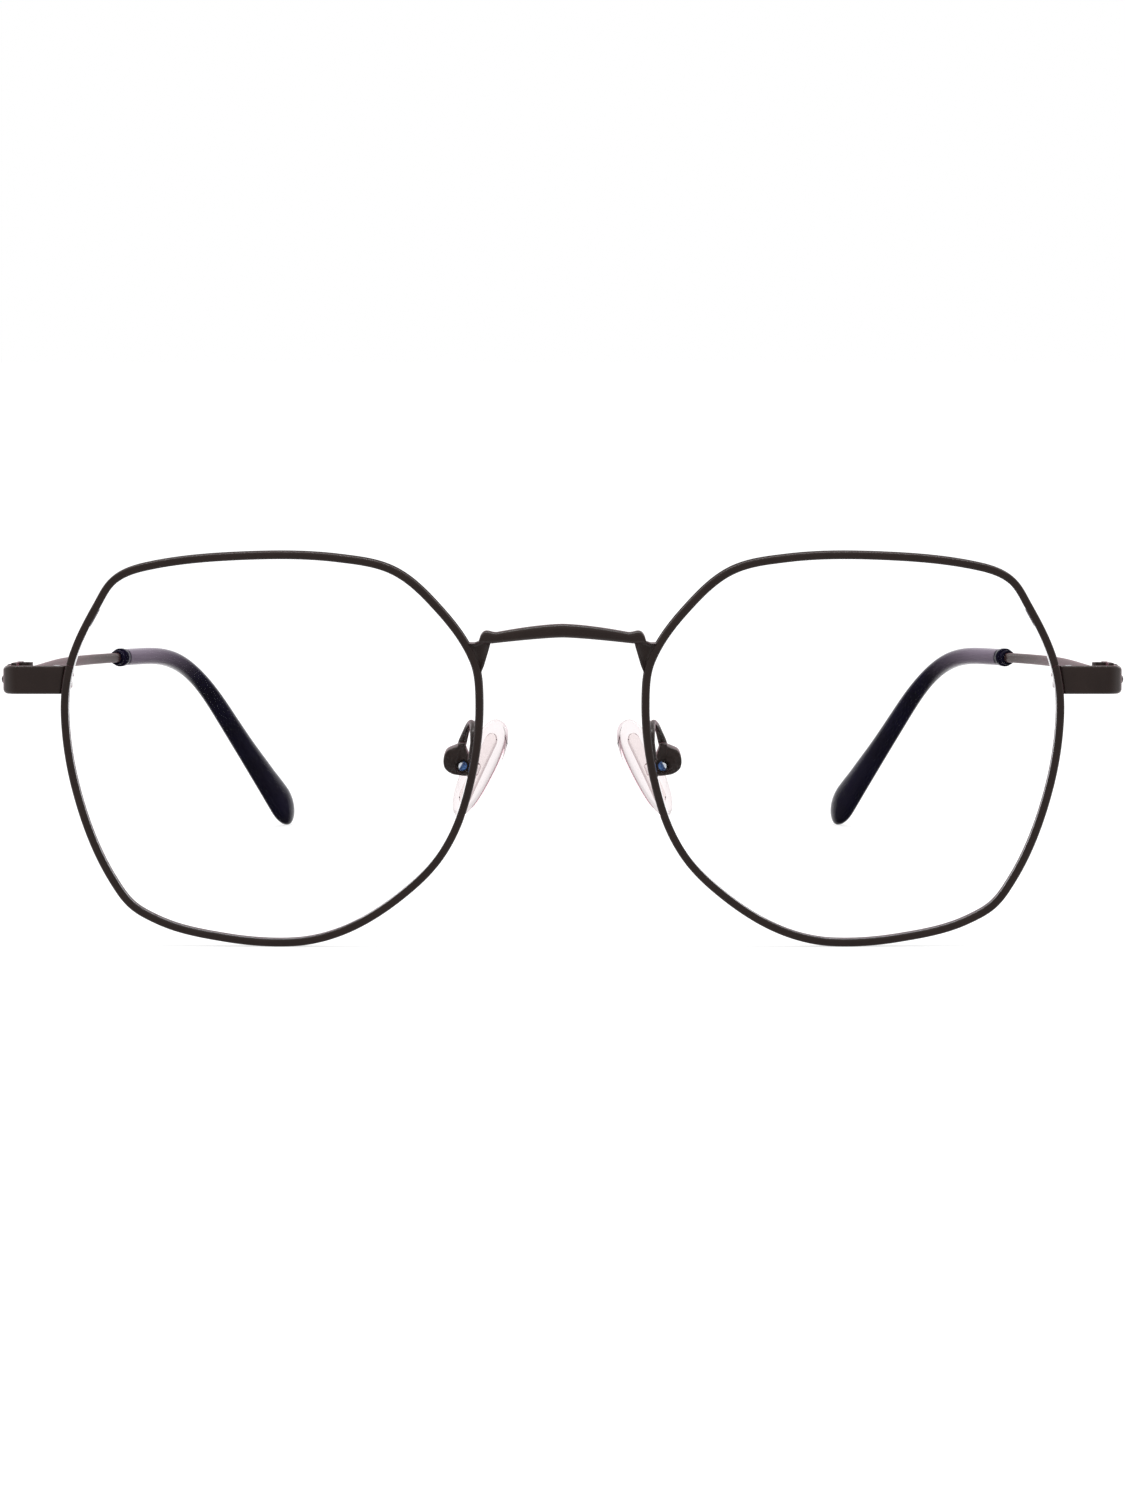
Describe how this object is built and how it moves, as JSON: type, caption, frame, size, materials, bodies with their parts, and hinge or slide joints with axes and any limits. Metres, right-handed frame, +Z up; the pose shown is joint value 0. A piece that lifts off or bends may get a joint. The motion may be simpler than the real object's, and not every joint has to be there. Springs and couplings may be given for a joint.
{
  "type": "eyeglass frame",
  "caption": "Thin metal eyeglasses with rounded geometric rims, clear lenses, a curved bridge, clear nose pads on wire arms and folding temples with sleeved tips.",
  "frame": {"origin": "on the table, under the middle of the open glasses: the bottom centre of their box", "axes": "+X to the wearer's left, +Y to the back along the temples, +Z up"},
  "size_m": [0.141, 0.1338, 0.0501],
  "materials": {
    "frame_lacquer": "satin brown-black lacquer on nickel silver",
    "screw_steel": "bare stainless steel, turned heads with a slot",
    "lens": "clear polished polycarbonate",
    "pad_silicone": "clear soft silicone",
    "pad_core": "clear stiff plastic",
    "tip_acetate": "polished blue-black acetate"
  },
  "bodies": {
    "front": {"bridge": "frame_lacquer", "rim_right": "frame_lacquer", "rim_left": "frame_lacquer", "lens_right": "lens", "lens_left": "lens", "closing_lug_right": "frame_lacquer", "closing_lug_left": "frame_lacquer", "closing_block_right": "frame_lacquer", "closing_block_left": "frame_lacquer", "rim_lock_screw_right": "screw_steel", "rim_lock_screw_left": "screw_steel", "endpiece_right": "frame_lacquer", "endpiece_left": "frame_lacquer", "side_rivet_right": "frame_lacquer", "side_rivet_left": "frame_lacquer", "hinge_front_leaf_right": "frame_lacquer", "hinge_front_leaf_left": "frame_lacquer", "hinge_screw_right": "screw_steel", "hinge_screw_left": "screw_steel", "pad_arm_right": "frame_lacquer", "pad_arm_left": "frame_lacquer", "pad_box_right": "frame_lacquer", "pad_box_left": "frame_lacquer", "pad_screw_right": "screw_steel", "pad_screw_left": "screw_steel"},
    "temple_right": {"hinge_temple_leaf_right": "frame_lacquer", "temple_right": "frame_lacquer", "temple_tip_right": "tip_acetate"},
    "pad_right": {"pad_core_right": "pad_core", "nose_pad_right": "pad_silicone"},
    "temple_left": {"hinge_temple_leaf_left": "frame_lacquer", "temple_left": "frame_lacquer", "temple_tip_left": "tip_acetate"},
    "pad_left": {"pad_core_left": "pad_core", "nose_pad_left": "pad_silicone"}
  },
  "joints": [
    {"name": "temple_fold_left", "type": "hinge", "parent": "front", "child": "temple_left", "pos_m": [0.06801, -0.05785, 0.03362], "axis": [0, 0.0581, 0.9983], "range_deg": [0, 76]},
    {"name": "temple_fold_right", "type": "hinge", "parent": "front", "child": "temple_right", "pos_m": [-0.06801, -0.05785, 0.03362], "axis": [0, -0.0581, -0.9983], "range_deg": [0, 72]},
    {"name": "pad_rock_left", "type": "hinge", "parent": "front", "child": "pad_left", "pos_m": [0.01271, -0.05582, 0.02236], "axis": [0, 0.9986, 0.0523], "range_deg": [-8, 8]},
    {"name": "pad_rock_right", "type": "hinge", "parent": "front", "child": "pad_right", "pos_m": [-0.01271, -0.05582, 0.02236], "axis": [0, 0.9986, 0.0523], "range_deg": [-8, 8]}
  ]
}
